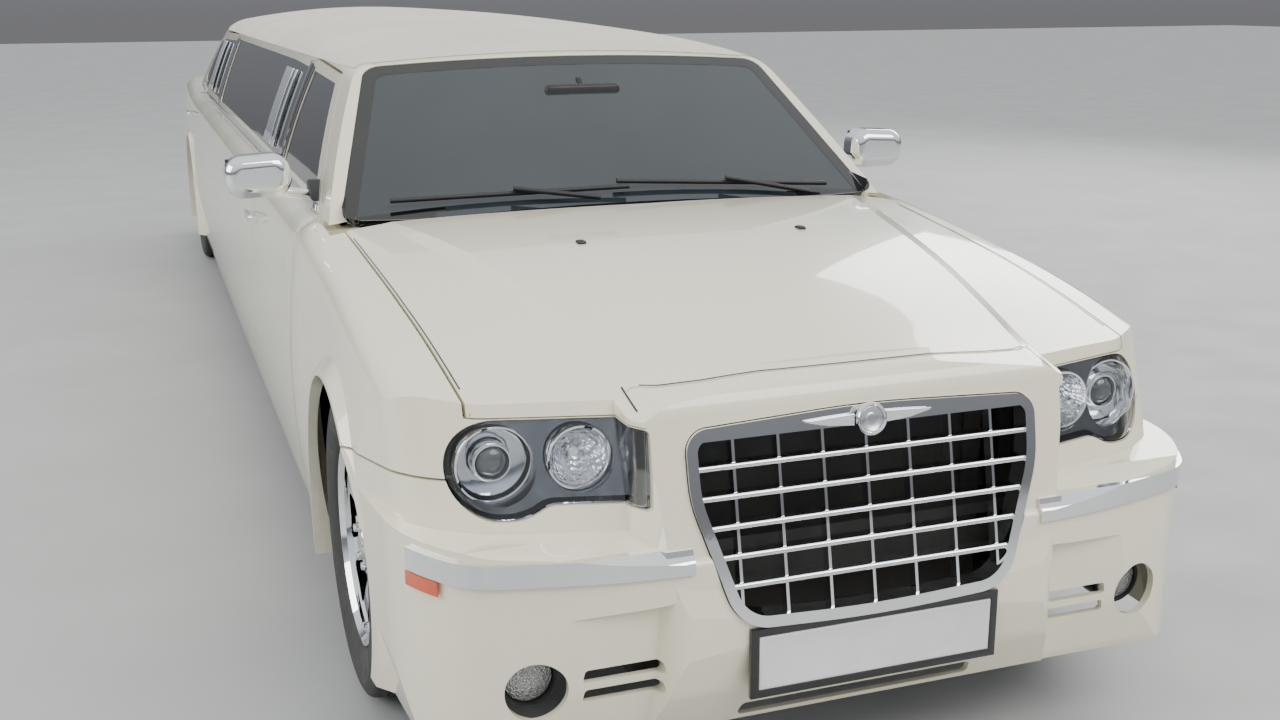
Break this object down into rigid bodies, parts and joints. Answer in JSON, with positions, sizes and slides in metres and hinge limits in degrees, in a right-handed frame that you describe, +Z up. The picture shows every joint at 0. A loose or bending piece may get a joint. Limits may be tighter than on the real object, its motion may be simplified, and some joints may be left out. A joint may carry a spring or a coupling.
{
  "type": "stretch limousine",
  "caption": "Stretched four-door saloon with a long glazed middle section, egg-crate grille, vinyl roof, opening doors, bonnet and boot, and steered, rolling wheels.",
  "frame": {"origin": "on the ground at the middle of the footprint", "axes": "+X to the car's left, -Y to its front, +Z up"},
  "size_m": [2.1332, 8.0511, 1.5421],
  "materials": {
    "paint": "pearl gloss",
    "vinyl": "matt grained vinyl",
    "chrome": "polished",
    "clear_glass": "polished",
    "dark_glass": "polished",
    "lamp_bowl": "bright",
    "amber": "gloss",
    "red": "gloss",
    "black_plastic": "grained",
    "tyre": "matt",
    "steel": "painted black",
    "bright_steel": "brushed",
    "aluminium": "cast",
    "leather": "soft",
    "wood": "lacquered",
    "under": "satin"
  },
  "bodies": {
    "body": {"body_shell": "paint", "roof_panel": "paint", "roof_cover": "vinyl", "front_fenders": "paint", "front_bumper": "paint", "rear_bumper": "paint", "headlamp_lenses": "clear_glass", "headlamp_housings": "lamp_bowl", "grille": "chrome", "fog_lamps": "clear_glass", "bumper_trim": "chrome", "side_markers": "amber", "tail_lamps": "red", "windscreen": "clear_glass", "rear_window": "dark_glass", "side_glass": "dark_glass", "window_trim": "chrome", "cowl_panel": "black_plastic", "wipers": "black_plastic", "front_frame": "under", "front_suspension": "steel", "rear_suspension": "steel", "floor_pan": "under", "driveline": "steel", "exhaust": "bright_steel", "fuel_tank": "black_plastic", "engine": "aluminium", "radiator": "aluminium", "dashboard": "black_plastic", "front_seats": "leather", "lounge_seats": "leather", "lounge_cabinets": "wood"},
    "bonnet": {"bonnet": "paint"},
    "boot_lid": {"boot_lid": "paint"},
    "front_door_left": {"front_door_left": "paint", "front_door_glass_left": "dark_glass", "front_handle_left": "chrome", "mirror_left": "chrome"},
    "rear_door_left": {"rear_door_left": "paint", "rear_door_glass_left": "dark_glass", "rear_handle_left": "chrome"},
    "knuckle_left": {"knuckle_left": "steel"},
    "front_wheel_left": {"front_rim_left": "chrome", "front_tyre_left": "tyre"},
    "rear_wheel_left": {"rear_rim_left": "chrome", "rear_tyre_left": "tyre"},
    "front_door_right": {"front_door_right": "paint", "front_door_glass_right": "dark_glass", "front_handle_right": "chrome", "mirror_right": "chrome"},
    "rear_door_right": {"rear_door_right": "paint", "rear_door_glass_right": "dark_glass", "rear_handle_right": "chrome"},
    "knuckle_right": {"knuckle_right": "steel"},
    "front_wheel_right": {"front_rim_right": "chrome", "front_tyre_right": "tyre"},
    "rear_wheel_right": {"rear_rim_right": "chrome", "rear_tyre_right": "tyre"}
  },
  "joints": [
    {"name": "bonnet_hinge", "type": "hinge", "parent": "body", "child": "bonnet", "pos_m": [0, -2.6025, 1.046], "axis": [-1, 0, 0], "range_deg": [0, 50]},
    {"name": "boot_hinge", "type": "hinge", "parent": "body", "child": "boot_lid", "pos_m": [0, 3.4315, 1.098], "axis": [1, 0, 0], "range_deg": [0, 70]},
    {"name": "front_door_left_hinge", "type": "hinge", "parent": "body", "child": "front_door_left", "pos_m": [0.926, -2.3875, 0.6], "axis": [0, 0, -1], "range_deg": [0, 62]},
    {"name": "rear_door_left_hinge", "type": "hinge", "parent": "body", "child": "rear_door_left", "pos_m": [0.926, 1.8725, 0.6], "axis": [0, 0, -1], "range_deg": [0, 65]},
    {"name": "steer_left", "type": "hinge", "parent": "body", "child": "knuckle_left", "pos_m": [0.65, -3.1385, 0.3635], "axis": [0, 0, 1], "range_deg": [-33, 33]},
    {"name": "front_wheel_left_spin", "type": "hinge", "parent": "knuckle_left", "child": "front_wheel_left", "pos_m": [0.8, -3.1385, 0.3635], "axis": [1, 0, 0], "continuous": true},
    {"name": "rear_wheel_left_spin", "type": "hinge", "parent": "body", "child": "rear_wheel_left", "pos_m": [0.8, 2.9575, 0.3635], "axis": [1, 0, 0], "continuous": true},
    {"name": "front_door_right_hinge", "type": "hinge", "parent": "body", "child": "front_door_right", "pos_m": [-0.926, -2.3875, 0.6], "axis": [0, 0, 1], "range_deg": [0, 62]},
    {"name": "rear_door_right_hinge", "type": "hinge", "parent": "body", "child": "rear_door_right", "pos_m": [-0.926, 1.8725, 0.6], "axis": [0, 0, 1], "range_deg": [0, 65]},
    {"name": "steer_right", "type": "hinge", "parent": "body", "child": "knuckle_right", "pos_m": [-0.65, -3.1385, 0.3635], "axis": [0, 0, 1], "range_deg": [-33, 33]},
    {"name": "front_wheel_right_spin", "type": "hinge", "parent": "knuckle_right", "child": "front_wheel_right", "pos_m": [-0.8, -3.1385, 0.3635], "axis": [1, 0, 0], "continuous": true},
    {"name": "rear_wheel_right_spin", "type": "hinge", "parent": "body", "child": "rear_wheel_right", "pos_m": [-0.8, 2.9575, 0.3635], "axis": [1, 0, 0], "continuous": true}
  ],
  "couplings": [
    {"joint": "steer_right", "follows": "steer_left", "ratio": 1}
  ]
}
